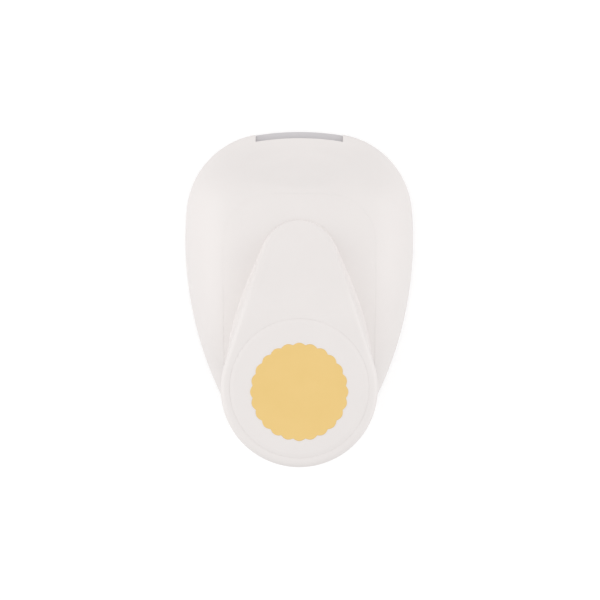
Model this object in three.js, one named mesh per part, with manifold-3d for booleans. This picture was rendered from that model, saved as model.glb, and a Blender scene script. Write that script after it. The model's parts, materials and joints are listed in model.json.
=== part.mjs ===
// A table-top lever punch for craft paper that cuts a one inch circle with a scalloped edge.
// Millimetres. Z is up, the paper mouth faces -Y and the thumb pad is at +Y.
// The origin is under the middle of the punch, on the surface that it stands on.

import * as THREE from "three";
import { mergeVertices } from "three/addons/utils/BufferGeometryUtils.js";
import Module from "manifold-3d";

const wasm = await Module();
wasm.setup();

// Egg outline of the housing and the base, as a chain of tangent arcs
const mouthY = -44.5;
const rearY = 41;
const frontArcR = 72;
const cornerArcR = 22.4;
const cornerReachX = 30.45;
const sideArcR = 96.5;
const rearArcR = 22.6;
const arcSteps = [3, 6, 6, 6];
const tipAngleShare = 0.006;

// Heights of the stack, from the table up
const footStand = 0.8;
const trayFloor = 2;
const ledgeHeight = 5.2;
const plateThick = 2;
const slotHeight = 2;
const partingGap = 0.3;
const skirtLift = 0.5;
const skirtRise = 1.1;
const domeRise = 20.2;

// Dome of the housing
const housingWall = 1.8;
const platePocketRise = 0.3;
const lipDepth = 5;
const domeColumns = 8;
const shoulderPower = 3.4;
const edgePower = 2;
const crownShares = [
  [0, 0], [0.01, 0.066], [0.035, 0.12], [0.064, 0.21], [0.117, 0.485], [0.17, 0.745], [0.228, 0.905],
  [0.31, 0.985], [0.392, 1], [0.497, 0.96], [0.614, 0.812], [0.731, 0.564], [0.848, 0.292],
  [0.942, 0.109], [1, 0],
];
const notchWidth = 23.5;
const notchDepth = 1.8;

// Opening in the housing that the lever sinks into
const shoulderWidth = 3.29;
const openingSetback = 17.5;
const openingCornerR = 13;
const openingRearR = 2.5;
const openingRearReach = 5.2;
const openingWall = 1.4;
const openingWallDepth = 9;
const leverSideGap = 0.4;

// Base tray
const trayWall = 2.2;
const ledgeWidth = 2.4;
const bulkheadGap = 0.3;
const bulkheadThick = 1.2;
const bulkheadDrop = 0.5;
const chuteR = 14.6;
const chuteWall = 1.4;
const footR = 3.6;
const footRecess = 0.5;
const frontFootInset = 9.67;
const frontFootSetback = 17.5;
const rearFootInset = 8;
const rearFootSetback = 19;

// Die set: die plate, spacer that stops the paper, guide plate and cutter
const plateInset = 2.4;
const throatDepth = 42.5;
const stopWidth = 4.4;
const dieSetback = 28;
const cutPeakR = 12.7;
const cutValleyR = 12.15;
const scallops = 24;
const stepsPerScallop = 4;
const cutClearance = 0.08;
const cutterLift = 1;
const cutterHeight = 7;
const tabSideGap = 0.1;

// Punch holder, its screw and its two return springs
const holderR = 9;
const holderThick = 1.5;
const holderBossR = 3.6;
const holderBossRise = 2.6;
const springSpread = 4.9;
const springR = 2.3;
const springWireR = 0.35;
const springTurns = 5;
const springTurnSteps = 8;
const springWireSides = 5;
const springSeatGap = 0.05;
const springPostR = 1.3;
const springPostRise = 1;
const yokeHalf = 3.1;
const holderScrewR = 1.3;
const holderScrewDepth = 5;

// Pivot of the lever, inside the front of the dome
const pivotSetback = 12;
const pivotRise = 3.2;
const pivotPinR = 1.2;
const pivotGap = 0.1;
const bracketHalf = 4.7;
const bracketSheet = 1.2;
const bracketFrontReach = 3.8;
const bracketRearReach = 2.5;
const earR = 2.6;
const pinReach = 8;
const clipR = 2.1;
const clipThick = 0.6;
const clipInset = 0.5;
const bracketRivetR = 0.8;
const bracketRivetHeadR = 1.3;
const bracketRivetCrownShare = 0.7;
const bracketRivetHeadRise = 0.6;
const bracketRivetInset = 1.5;

// Lever: steel frame under a moulded shell
const frameSheet = 1.2;
const frameSideGap = 0.3;
const frameEndReach = 9;
const frameRoofGap = 1.5;
const frameWebSetback = 1;
const frameDepth = 5.5;
const frameTailDepth = 2.6;
const frameSteps = 6;
const frameHeelShare = 0.4;
const frameNeckShare = 1.5;
const frameThroatShare = 1.45;
const frameNoseShare = 0.6;
const frameNoseReach = 3;
const frameBellyReach = 4.5;
const rollerR = 1.5;
const rollerGap = 0.3;
const rollerHoleGap = 0.05;
const leverWall = 1.8;
const leverDrop = 0.8;
const leverDropSetback = 15;
const flankReach = 18.4;
const flankBottomFrontZ = 28.2;
const flankBottomZ = 24.4;
const flankBottomRearZ = 17.4;
const flankFallGap = 1.2;
const flankFallLength = 5;
const flankSteps = 12;
const flankColumns = 5;
const flankStepPower = 1.3;
const tongueTipSetback = 7;
const tongueTipGap = 0.6;
const tongueStep = 0.6;
const tongueSkirt = 4.5;
const tongueLedge = 0.6;
const tongueFootSink = 0.3;
const tongueTipSpread = 0.5;
const tongueSpreadLength = 12;
const tongueEdgeR = 2;
const tongueEdgeSteps = 4;
const tongueSteps = 12;
const tongueShares = [
  [0, 0], [0.1, 0.07], [0.3, 0.3], [0.5, 0.565], [0.68, 0.8], [0.8, 0.915], [0.9, 0.975], [1, 1],
];
const neckReach = 0.8;

// Thumb pad at the end of the lever
const padSetback = 16.95;
const padOverhang = 0.3;
const padTopZ = 47;
const padThick = 8.5;
const padRoof = 3.8;
const padSides = 48;
const discOffset = -0.3;
const padRim = 2.5;
const discGap = 0.35;
const discThick = 1.7;
const discProud = 0.3;
const discEdge = 0.5;
const discPegR = 2;
const discPegDrop = 1.6;
const pegGap = 0.15;
const badgeOffset = 0.55;
const badgeMargin = 5.2;
const badgeThick = 0.6;
const badgeProud = 0.1;
const badgeGap = 0.05;

// Fasteners
const screwR = 1.4;
const screwHeadR = 2.5;
const screwHeadThick = 1.5;
const screwHoleGap = 0.1;
const screwSlotWidth = 0.6;
const screwSlotDepth = 0.6;
const bossWall = 1.1;
const screwBite = 5;
const dieScrewInset = 9.52;
const sideScrewInset = 4.13;
const sideScrewReach = 5.6;
const rearScrewInset = 6.27;
const rearScrewSetback = 11;
const rearScrewBite = 2.2;
const guideScrewInset = 7.78;
const guideScrewSetback = 11.5;
const guideScrewBite = 3.2;
const shellScrewSetback = 23;
const shellScrewPadReach = 5;
const shellScrewR = 1.1;
const shellScrewHeadR = 2.1;
const shellScrewHeadThick = 1.1;
const shellScrewBite = 3;
const holderScrewHeadR = 2.4;
const holderScrewHeadThick = 1.2;

// Small values that serve all pieces
const overrun = 1;
const weld = 0.0001;
const touchGap = 0.02;
const roundSides = 18;
const smallSides = 12;
const plateSides = 36;
const cornerSteps = 6;

// Places that follow from the outline
const throatY = mouthY + throatDepth;
const plateRearY = throatY + stopWidth;
const flankRearY = throatY + flankReach;
const openingFrontY = mouthY + openingSetback;
const openingWallFrontY = openingFrontY + openingCornerR;
const openingRearY = flankRearY + openingRearReach;
const openingHalf = eggHalf(openingRearY, 0) - shoulderWidth;
const dieY = mouthY + dieSetback;
const pivotY = mouthY + pivotSetback;
const bracketFrontY = pivotY - bracketFrontReach;
const bracketRearY = pivotY + bracketRearReach;
const flankFallFrontY = plateRearY + flankFallGap;
const flankFallRearY = flankFallFrontY + flankFallLength;
const leverDropFrontY = openingFrontY + leverDropSetback;
const leverDropRearY = flankRearY;
const neckRearY = flankRearY + neckReach;
const tongueTipY = openingFrontY + tongueTipSetback;
const padR = openingHalf + padOverhang;
const padY = rearY - padSetback;
const discY = padY + discOffset;
const discR = padR - padRim;
const badgeY = padY + badgeOffset;
const badgePeakR = discR - badgeMargin;
const badgeValleyR = badgePeakR - cutPeakR + cutValleyR;
const springX = cutPeakR + springSpread;
const frameEndY = padY + frameEndReach;
const frontFootY = mouthY + frontFootSetback;
const frontFootX = eggHalf(frontFootY, frontFootInset);
const rearFootY = rearY - rearFootSetback;
const rearFootX = eggHalf(rearFootY, rearFootInset);
const dieScrewY = (throatY + plateRearY) / 2;
const dieScrewX = eggHalf(dieScrewY, dieScrewInset);
const sideScrewY = plateRearY + sideScrewReach;
const sideScrewX = eggHalf(sideScrewY, sideScrewInset);
const rearScrewY = rearY - rearScrewSetback;
const rearScrewX = eggHalf(rearScrewY, rearScrewInset);
const guideScrewY = mouthY + guideScrewSetback;
const guideScrewX = eggHalf(guideScrewY, guideScrewInset);
const shellScrewFrontY = tongueTipY + shellScrewSetback;
const shellScrewRearY = padY - shellScrewPadReach;
const frameWebFrontY = openingFrontY + frameWebSetback;
const flankFrontY = openingFrontY + leverSideGap;
const frameInnerX = bracketHalf + frameSideGap;
const frameOuterX = frameInnerX + frameSheet;
const tongueTipR = frameOuterX + leverWall + tongueTipGap;
const tongueTipMidY = tongueTipY + tongueTipR;
const tongueTaper = Math.asin((padR - tongueTipR) / (padY - tongueTipMidY));
const tongueLevelY = padY - discR + discEdge;
const bulkheadY = plateRearY + bulkheadGap;
const wideX = cornerReachX + overrun;

// Levels that follow from the stack
const trayFloorZ = footStand + trayFloor;
const dieBottomZ = trayFloorZ + ledgeHeight;
const dieTopZ = dieBottomZ + plateThick;
const guideBottomZ = dieTopZ + slotHeight;
const guideTopZ = guideBottomZ + plateThick;
const skirtZ = guideBottomZ + skirtLift;
const edgeZ = skirtZ + skirtRise;
const pivotZ = guideTopZ + pivotRise;
const cutterBottomZ = guideBottomZ + cutterLift;
const cutterTopZ = cutterBottomZ + cutterHeight;
const holderTopZ = cutterTopZ + holderThick;
const bossTopZ = holderTopZ + holderBossRise;
const rollerZ = bossTopZ + rollerGap + rollerR;
const trayTopZ = skirtZ - partingGap;
const baseHeadZ = footStand + footRecess;
const padBottomZ = padTopZ - padThick;
const padRoofZ = padTopZ - padRoof;
const rimTopZ = padTopZ - discProud;
const discFloorZ = padTopZ - discThick;
const screwHoleR = screwR + screwHoleGap;

const white = { color: 0xe9e5e0, roughness: 0.35, metalness: 0 };
const steel = { color: 0xc4c1c3, roughness: 0.35, metalness: 0.9 };
const darkSteel = { color: 0x8f9094, roughness: 0.4, metalness: 0.9 };
const gold = { color: 0xecca82, roughness: 0.45, metalness: 0.1 };
const rubber = { color: 0xbfbfbf, roughness: 0.9, metalness: 0 };

const punch = new THREE.Group();
const leverGroup = new THREE.Group();
const cutterGroup = new THREE.Group();
punch.add(leverGroup, cutterGroup);

// A closed geometry as a solid that can be joined and cut
function solidOf(geometry) {
  const plain = new THREE.BufferGeometry();
  plain.setAttribute("position", geometry.getAttribute("position").clone());
  if (geometry.index) plain.setIndex(geometry.index.clone());
  const merged = mergeVertices(plain, weld);
  return new wasm.Manifold(
    new wasm.Mesh({
      numProp: 3,
      vertProperties: merged.getAttribute("position").array,
      triVerts: new Uint32Array(merged.index.array),
    }),
  );
}

function geometryOf(solid) {
  const mesh = solid.getMesh();
  const geometry = new THREE.BufferGeometry();
  geometry.setAttribute("position", new THREE.BufferAttribute(mesh.vertProperties, 3));
  geometry.setIndex(new THREE.BufferAttribute(mesh.triVerts, 1));
  return geometry;
}

function place(group, name, solid, finish) {
  const mesh = new THREE.Mesh(geometryOf(solid), new THREE.MeshStandardMaterial(finish));
  mesh.name = name;
  group.add(mesh);
}

const joined = (first, ...others) => others.reduce((sum, other) => sum.add(other), first);
const cut = (first, ...others) => others.reduce((rest, other) => rest.subtract(other), first);

function box(x0, x1, y0, y1, z0, z1) {
  const geometry = new THREE.BoxGeometry(x1 - x0, y1 - y0, z1 - z0);
  geometry.translate((x0 + x1) / 2, (y0 + y1) / 2, (z0 + z1) / 2);
  return solidOf(geometry);
}

function rodZ(x, y, z0, z1, radius, sides = roundSides) {
  const geometry = new THREE.CylinderGeometry(radius, radius, z1 - z0, sides);
  geometry.rotateX(Math.PI / 2);
  geometry.translate(x, y, (z0 + z1) / 2);
  return solidOf(geometry);
}

function rodX(x0, x1, y, z, radius, sides = roundSides) {
  const geometry = new THREE.CylinderGeometry(radius, radius, x1 - x0, sides);
  geometry.rotateZ(Math.PI / 2);
  geometry.translate((x0 + x1) / 2, y, z);
  return solidOf(geometry);
}

// A flat outline in X and Y raised from one level to another
function slab(points, z0, z1) {
  const shape = new THREE.Shape(points.map(([x, y]) => new THREE.Vector2(x, y)));
  const geometry = new THREE.ExtrudeGeometry(shape, { depth: z1 - z0, bevelEnabled: false });
  geometry.translate(0, 0, z0);
  return solidOf(geometry);
}

// A side view outline in Y and Z, spread from one X to another
function sideSlab(points, x0, x1) {
  const shape = new THREE.Shape(points.map(([y, z]) => new THREE.Vector2(y, z)));
  const geometry = new THREE.ExtrudeGeometry(shape, { depth: x1 - x0, bevelEnabled: false });
  geometry.applyMatrix4(new THREE.Matrix4().set(0, 0, 1, x0, 1, 0, 0, 0, 0, 1, 0, 0, 0, 0, 0, 1));
  return solidOf(geometry);
}

// A profile of radius and height turned about an upright axis
function turned(x, y, profile, sides = roundSides) {
  const geometry = new THREE.LatheGeometry(profile.map(([r, z]) => new THREE.Vector2(r, z)), sides);
  geometry.rotateX(Math.PI / 2);
  geometry.translate(x, y, 0);
  return solidOf(geometry);
}

// Skins a row of rings of [x, y, z] points, which run clockwise seen from the front
function skinned(rings) {
  const count = rings[0].length;
  const faces = [];
  for (let i = 0; i + 1 < rings.length; i++) {
    for (let j = 0; j < count; j++) {
      const a = i * count + j;
      const b = i * count + ((j + 1) % count);
      faces.push(a, b, b + count, a, b + count, a + count);
    }
  }
  const last = (rings.length - 1) * count;
  for (let j = 1; j + 1 < count; j++) {
    faces.push(0, j + 1, j);
    faces.push(last, last + j, last + j + 1);
  }
  const geometry = new THREE.BufferGeometry();
  geometry.setAttribute("position", new THREE.Float32BufferAttribute(rings.flat(2), 3));
  geometry.setIndex(faces);
  return solidOf(geometry);
}

const mix = (a, b, share) => a + (b - a) * share;

function eased(from, to, value) {
  const share = Math.min(Math.max((value - from) / (to - from), 0), 1);
  return share * share * (3 - 2 * share);
}

// A smooth curve through a table of [place, height] pairs
function through(table, place) {
  const last = table.length - 1;
  const slope = (i) => {
    const [p0, h0] = table[Math.max(i - 1, 0)];
    const [p1, h1] = table[Math.min(i + 1, last)];
    return (h1 - h0) / (p1 - p0);
  };
  const at = Math.min(Math.max(place, 0), 1);
  let i = 0;
  while (i < last - 1 && at > table[i + 1][0]) i++;
  const [p0, h0] = table[i];
  const [p1, h1] = table[i + 1];
  const u = (at - p0) / (p1 - p0);
  const run = p1 - p0;
  return (
    h0 * (1 + 2 * u) * (1 - u) ** 2 + slope(i) * run * u * (1 - u) ** 2 +
    h1 * u * u * (3 - 2 * u) + slope(i + 1) * run * u * u * (u - 1)
  );
}

// The egg's arcs on its right side, from the front to the rear. Angles turn from -Y towards +X.
function eggArcs(inset) {
  const front = { x: 0, y: mouthY + frontArcR, r: frontArcR };
  const cornerX = cornerReachX - cornerArcR;
  const cornerY = front.y - Math.sqrt((frontArcR - cornerArcR) ** 2 - cornerX ** 2);
  const corner = { x: cornerX, y: cornerY, r: cornerArcR };
  const rear = { x: 0, y: rearY - rearArcR, r: rearArcR };
  const spanX = rear.x - corner.x;
  const spanY = rear.y - corner.y;
  const span = Math.hypot(spanX, spanY);
  const toCorner = sideArcR - cornerArcR;
  const toRear = sideArcR - rearArcR;
  const along = (toCorner ** 2 - toRear ** 2 + span ** 2) / (2 * span);
  const across = Math.sqrt(toCorner ** 2 - along ** 2);
  const side = {
    x: corner.x + (spanX * along - spanY * across) / span,
    y: corner.y + (spanY * along + spanX * across) / span,
    r: sideArcR,
  };
  const angle = (from, to) => Math.atan2(to.x - from.x, from.y - to.y);
  const turns = [0, angle(front, corner), angle(side, corner), angle(side, rear), Math.PI];
  return [front, corner, side, rear].map((arc, i) => ({
    x: arc.x, y: arc.y, r: arc.r - inset, from: turns[i], to: turns[i + 1],
  }));
}

// Points on the egg's right side, kept off the two points on the centre line
function eggSide(inset) {
  const points = [];
  eggArcs(inset).forEach((arc, i) => {
    for (let step = i ? 1 : 0; step <= arcSteps[i]; step++) {
      const turn = mix(arc.from, arc.to, step / arcSteps[i]);
      const kept = Math.min(Math.max(turn, Math.PI * tipAngleShare), Math.PI * (1 - tipAngleShare));
      points.push([arc.x + arc.r * Math.sin(kept), arc.y - arc.r * Math.cos(kept)]);
    }
  });
  return points;
}

function eggHalf(y, inset) {
  const arcs = eggArcs(inset);
  const arc = arcs.find((each) => y <= each.y - each.r * Math.cos(each.to)) ?? arcs[3];
  return arc.x + Math.sqrt(Math.max(arc.r ** 2 - (y - arc.y) ** 2, 0));
}

const mirrored = (side) => [...side, ...side.map(([x, y]) => [-x, y]).reverse()];

// The egg outline between two places along Y
function eggPart(inset, y0, y1) {
  const side = eggSide(inset).filter(([, y]) => y > y0 && y < y1);
  if (eggHalf(y0, inset) > 0) side.unshift([eggHalf(y0, inset), y0]);
  if (eggHalf(y1, inset) > 0) side.push([eggHalf(y1, inset), y1]);
  return mirrored(side);
}

const crown = (y) => domeRise * through(crownShares, (y - mouthY) / (rearY - mouthY));
const domeFall = (share) => (1 - Math.min(Math.abs(share), 1) ** shoulderPower) ** (1 / edgePower);

function domeTop(x, y) {
  const half = eggHalf(y, 0);
  return edgeZ + crown(y) * domeFall(half > 0 ? x / half : 1);
}

function domeRing(half, y, bottom, edge, rise) {
  const ring = [[-half, y, bottom]];
  for (let j = -domeColumns; j <= domeColumns; j++) {
    const share = Math.sin((j / domeColumns) * (Math.PI / 2));
    ring.push([half * share, y, edge + rise * domeFall(share)]);
  }
  ring.push([half, y, bottom]);
  return ring;
}

// The right side of the opening's outline: a wide front corner and a small rear one
function openingSide(inset) {
  const corners = [
    { y: openingFrontY + openingCornerR, cornerR: openingCornerR, from: 0 },
    { y: openingRearY - openingRearR, cornerR: openingRearR, from: Math.PI / 2 },
  ];
  return corners.flatMap(({ y, cornerR, from }) =>
    Array.from({ length: cornerSteps + 1 }, (_, step) => {
      const turn = from + (step / cornerSteps) * (Math.PI / 2);
      const r = cornerR - inset;
      return [openingHalf - cornerR + r * Math.sin(turn), y - r * Math.cos(turn)];
    }));
}

function openingHalfAt(y, inset) {
  const cornerY = openingFrontY + openingCornerR;
  const r = openingCornerR - inset;
  const reach = Math.min(y - cornerY, 0);
  return openingHalf - openingCornerR + Math.sqrt(Math.max(r ** 2 - reach ** 2, 0));
}

// The two sides of the punch and the words for them in a piece's name
const eachSide = [[-1, "left"], [1, "right"]];

function scallopLoop(y, peak, valley) {
  const steps = scallops * stepsPerScallop;
  return Array.from({ length: steps }, (_, i) => {
    const turn = (i / steps) * 2 * Math.PI;
    const r = valley + (peak - valley) * Math.abs(Math.cos((turn * scallops) / 2));
    return [r * Math.sin(turn), y - r * Math.cos(turn)];
  });
}

// A screw driven upwards or downwards, with a flat head and a slot
function screw(x, y, headZ, tipZ, radius, headR, headThick) {
  const up = Math.sign(tipZ - headZ);
  const seat = headZ + up * headThick;
  const head = rodZ(x, y, Math.min(headZ, seat), Math.max(headZ, seat), headR, smallSides);
  const start = headZ + (up * headThick) / 2;
  const shank = rodZ(x, y, Math.min(start, tipZ), Math.max(start, tipZ), radius, smallSides);
  const low = Math.min(headZ - up * overrun, headZ + up * screwSlotDepth);
  const high = Math.max(headZ - up * overrun, headZ + up * screwSlotDepth);
  const slot = box(x - screwSlotWidth / 2, x + screwSlotWidth / 2, y - headR, y + headR, low, high);
  return cut(head.add(shank), slot);
}

// Where the screws that come up through the base stand
const pairOf = (name, x, y, bite) =>
  eachSide.map(([side, word]) => ({ name: name + "_" + word, x: side * x, y, bite }));
const sideScrews = pairOf("side_screw", sideScrewX, sideScrewY, screwBite);
const rearScrews = pairOf("rear_screw", rearScrewX, rearScrewY, rearScrewBite);
const dieScrews = pairOf("die_screw", dieScrewX, dieScrewY);
const guideScrews = pairOf("guide_screw", guideScrewX, guideScrewY, guideScrewBite);
const baseScrews = [...sideScrews, ...rearScrews];

function trayBosses() {
  const startZ = trayFloorZ - touchGap;
  const radius = screwHeadR + bossWall;
  return joined(
    ...dieScrews.map(({ x, y }) => rodZ(x, y, startZ, dieBottomZ, radius, smallSides)),
    ...baseScrews.map(({ x, y }) => rodZ(x, y, startZ, trayTopZ, radius, smallSides)),
  ).intersect(slab(mirrored(eggSide(touchGap)), footStand, trayTopZ + overrun));
}

function trayScrewHoles() {
  return [...dieScrews, ...baseScrews].flatMap(({ x, y }) => [
    rodZ(x, y, 0, trayTopZ + overrun, screwHoleR, smallSides),
    rodZ(x, y, 0, baseHeadZ + screwHeadThick, screwHeadR + screwHoleGap, smallSides),
  ]);
}

function addBaseTray() {
  const innerZ = trayFloorZ - touchGap;
  const shell = cut(
    slab(mirrored(eggSide(0)), footStand, trayTopZ),
    slab(mirrored(eggSide(trayWall)), trayFloorZ, trayTopZ + overrun),
    slab(eggPart(-overrun, mouthY - overrun, throatY), dieTopZ, trayTopZ + overrun),
  );
  const ledgeInset = trayWall + ledgeWidth;
  const ledge = cut(
    slab(eggPart(trayWall - touchGap, mouthY, plateRearY), innerZ, dieBottomZ),
    slab(eggPart(ledgeInset, mouthY, plateRearY + overrun), trayFloorZ - overrun, dieBottomZ + overrun),
  );
  const chute = rodZ(0, dieY, innerZ, dieBottomZ, chuteR + chuteWall, padSides);
  const wallLine = eggPart(trayWall - touchGap, bulkheadY, bulkheadY + bulkheadThick);
  const bulkhead = slab(wallLine, innerZ, trayTopZ - bulkheadDrop);
  const tabHalf = notchWidth / 2 + tabSideGap;
  const tabRearY = mouthY + plateInset + overrun;
  const tray = cut(
    joined(shell, ledge, chute, bulkhead, trayBosses()),
    rodZ(0, dieY, 0, dieBottomZ + overrun, chuteR, padSides),
    box(-tabHalf, tabHalf, mouthY - overrun, tabRearY, dieBottomZ, trayTopZ),
    ...trayScrewHoles(),
    ...feet.map(({ x, y }) => rodZ(x, y, 0, baseHeadZ, footR + screwHoleGap)),
  );
  place(punch, "base_tray", tray, white);
}

const feet = [
  { name: "foot_front_left", x: -frontFootX, y: frontFootY },
  { name: "foot_front_right", x: frontFootX, y: frontFootY },
  { name: "foot_rear_left", x: -rearFootX, y: rearFootY },
  { name: "foot_rear_right", x: rearFootX, y: rearFootY },
];

function addFeet() {
  for (const { name, x, y } of feet) {
    place(punch, name, rodZ(x, y, 0, baseHeadZ, footR), rubber);
  }
}

const rivetHoles = () =>
  bracketRivets.map(({ y }) => rodZ(0, y, 0, padTopZ, bracketRivetR + screwHoleGap, smallSides));

function addDieSet() {
  const holes = dieScrews.map(({ x, y }) => rodZ(x, y, 0, padTopZ, screwHoleR, smallSides));
  const opening = slab(scallopLoop(dieY, cutPeakR, cutValleyR), 0, padTopZ);
  const tabRearY = mouthY + plateInset + overrun;
  const tab = slab(eggPart(touchGap, mouthY, tabRearY), dieBottomZ, dieTopZ).intersect(
    box(-notchWidth / 2, notchWidth / 2, mouthY, tabRearY, 0, padTopZ),
  );
  const die = slab(eggPart(plateInset, mouthY, plateRearY), dieBottomZ, dieTopZ);
  place(punch, "die_plate", cut(die.add(tab), opening, ...holes), steel);

  const spacer = slab(eggPart(plateInset, throatY, plateRearY), dieTopZ, guideBottomZ);
  place(punch, "paper_stop", cut(spacer, ...holes), darkSteel);

  const guideHoles = guideScrews.flatMap(({ x, y }) => [
    rodZ(x, y, 0, padTopZ, screwHoleR, smallSides),
    rodZ(x, y, 0, guideBottomZ + screwHeadThick, screwHeadR + screwHoleGap, smallSides),
  ]);
  const postHoles = eachSide.map(([side]) =>
    rodZ(side * springX, dieY, 0, padTopZ, springPostR, smallSides));
  const guide = slab(eggPart(plateInset, mouthY, plateRearY), guideBottomZ, guideTopZ);
  const allHoles = [...holes, ...guideHoles, ...rivetHoles(), ...postHoles];
  place(punch, "guide_plate", cut(guide, opening, ...allHoles), steel);

  for (const [side, word] of eachSide) {
    const postTopZ = guideTopZ + springPostRise;
    const post = rodZ(side * springX, dieY, guideBottomZ, postTopZ, springPostR - touchGap, smallSides);
    place(punch, "spring_post_" + word, post, darkSteel);
  }
}

function addFasteners() {
  for (const { name, x, y, bite } of baseScrews) {
    place(punch, name, screw(x, y, baseHeadZ, skirtZ + bite, screwR, screwHeadR, screwHeadThick), darkSteel);
  }
  for (const { name, x, y } of dieScrews) {
    place(punch, name, screw(x, y, baseHeadZ, guideTopZ, screwR, screwHeadR, screwHeadThick), darkSteel);
  }
  for (const { name, x, y, bite } of guideScrews) {
    const tip = guideTopZ + bite;
    place(punch, name, screw(x, y, guideBottomZ, tip, screwR, screwHeadR, screwHeadThick), darkSteel);
  }
}

const bracketRivets = [
  { name: "bracket_rivet_front", y: bracketFrontY + bracketRivetInset },
  { name: "bracket_rivet_rear", y: bracketRearY - bracketRivetInset },
];

// A round bar on the pivot's axis
const pivotRod = (x0, x1, radius) => rodX(x0, x1, pivotY, pivotZ, radius);

function addPivotBracket() {
  const sheetTopZ = guideTopZ + bracketSheet;
  const sheet = box(-bracketHalf, bracketHalf, bracketFrontY, bracketRearY, guideTopZ, sheetTopZ);
  const ears = eachSide.map(([side]) => {
    const x0 = Math.min(side * bracketHalf, side * (bracketHalf - bracketSheet));
    const x1 = x0 + bracketSheet;
    return box(x0, x1, pivotY - earR, pivotY + earR, guideTopZ, pivotZ).add(pivotRod(x0, x1, earR));
  });
  const pinHole = pivotRod(-pinReach, pinReach, pivotPinR + touchGap);
  place(punch, "pivot_bracket", cut(joined(sheet, ...ears), pinHole, ...rivetHoles()), darkSteel);

  const headTop = sheetTopZ + bracketRivetHeadRise;
  for (const { name, y } of bracketRivets) {
    const rivet = turned(0, y, [
      [0, guideBottomZ + touchGap], [bracketRivetR, guideBottomZ + touchGap], [bracketRivetR, sheetTopZ],
      [bracketRivetHeadR, sheetTopZ], [bracketRivetHeadR * bracketRivetCrownShare, headTop], [0, headTop],
    ], smallSides);
    place(punch, name, rivet, steel);
  }
}

function addPivotPin() {
  const clipX = pinReach - clipInset - clipThick;
  const neckR = pivotPinR / 2;
  const grooves = eachSide.map(([side]) => {
    const x0 = Math.min(side * clipX, side * (clipX + clipThick));
    return cut(pivotRod(x0, x0 + clipThick, clipR), pivotRod(x0, x0 + clipThick, neckR));
  });
  place(punch, "pivot_pin", cut(pivotRod(-pinReach, pinReach, pivotPinR), ...grooves), steel);

  const bore = neckR + touchGap;
  for (const [side, word] of eachSide) {
    const x0 = Math.min(side * clipX, side * (clipX + clipThick)) + touchGap;
    const x1 = x0 + clipThick - 2 * touchGap;
    const mouth = box(x0, x1, pivotY - bore, pivotY + bore, pivotZ, pivotZ + clipR + overrun);
    const ring = cut(pivotRod(x0, x1, clipR), pivotRod(x0 - overrun, x1 + overrun, bore));
    place(punch, "pivot_clip_" + word, cut(ring, mouth), darkSteel);
  }
}

function addHousing() {
  const outer = skinned(eggSide(0).map(([half, y]) => domeRing(half, y, skirtZ, edgeZ, crown(y))));
  const hollowEdge = skirtZ + touchGap;
  const hollow = skinned(eggSide(housingWall).map(([half, y]) => {
    const rise = Math.max(crown(y) + edgeZ - housingWall - hollowEdge, touchGap);
    return domeRing(half, y, skirtZ - overrun, hollowEdge, rise);
  })).intersect(box(-wideX, wideX, mouthY + lipDepth, rearY, 0, padTopZ));
  const pocket = slab(mirrored(eggSide(housingWall)), skirtZ - overrun, guideTopZ + platePocketRise);

  const opening = slab(mirrored(openingSide(0)), skirtZ - overrun, padTopZ);
  const wallBottomZ = domeTop(openingHalf, sideScrewY) - openingWallDepth;
  const lining = slab(mirrored(openingSide(-openingWall)), wallBottomZ, padTopZ).intersect(
    box(-wideX, wideX, openingWallFrontY, rearY, 0, padTopZ),
  );
  const posts = [
    ...baseScrews.map(({ x, y }) => rodZ(x, y, skirtZ, padTopZ, screwR + bossWall, smallSides)),
    ...guideScrews.map(({ x, y }) => rodZ(x, y, guideTopZ, padTopZ, screwR + bossWall, smallSides)),
  ];
  const kept = cut(joined(hollow, pocket), lining, ...posts);
  const screwHoles = [
    ...baseScrews.map(({ x, y, bite }) =>
      rodZ(x, y, 0, skirtZ + bite + screwHoleGap, screwHoleR, smallSides)),
    ...guideScrews.map(({ x, y, bite }) =>
      rodZ(x, y, 0, guideTopZ + bite + screwHoleGap, screwHoleR, smallSides)),
  ];
  const lipArc = cut(
    box(-notchWidth / 2, notchWidth / 2, mouthY - overrun, mouthY + lipDepth, 0, padTopZ),
    slab(mirrored(eggSide(notchDepth)), 0, padTopZ),
  );
  place(punch, "housing", cut(outer, kept, opening, lipArc, ...screwHoles), white);
}

function addCutter() {
  const loop = scallopLoop(dieY, cutPeakR - cutClearance, cutValleyR - cutClearance);
  const screwTipZ = cutterTopZ - holderScrewDepth;
  const screwHole = rodZ(0, dieY, screwTipZ - screwHoleGap, padTopZ, holderScrewR + screwHoleGap, smallSides);
  place(cutterGroup, "cutter", cut(slab(loop, cutterBottomZ, cutterTopZ), screwHole), steel);

  const yoke = box(-springX, springX, dieY - yokeHalf, dieY + yokeHalf, cutterTopZ, holderTopZ);
  const yokeEnds = eachSide.map(([side]) => rodZ(side * springX, dieY, cutterTopZ, holderTopZ, yokeHalf));
  const plate = rodZ(0, dieY, cutterTopZ, holderTopZ, holderR, plateSides);
  const boss = rodZ(0, dieY, cutterTopZ, bossTopZ, holderBossR);
  const headSeatZ = bossTopZ - holderScrewHeadThick - screwHoleGap;
  const headSeat = rodZ(0, dieY, headSeatZ, padTopZ, holderScrewHeadR + screwHoleGap);
  const holder = cut(joined(yoke, ...yokeEnds, plate, boss), screwHole, headSeat);
  place(cutterGroup, "punch_holder", holder, darkSteel);

  const headZ = headSeatZ + holderScrewHeadThick;
  place(cutterGroup, "holder_screw",
    screw(0, dieY, headZ, screwTipZ, holderScrewR, holderScrewHeadR, holderScrewHeadThick), steel);
}

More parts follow.
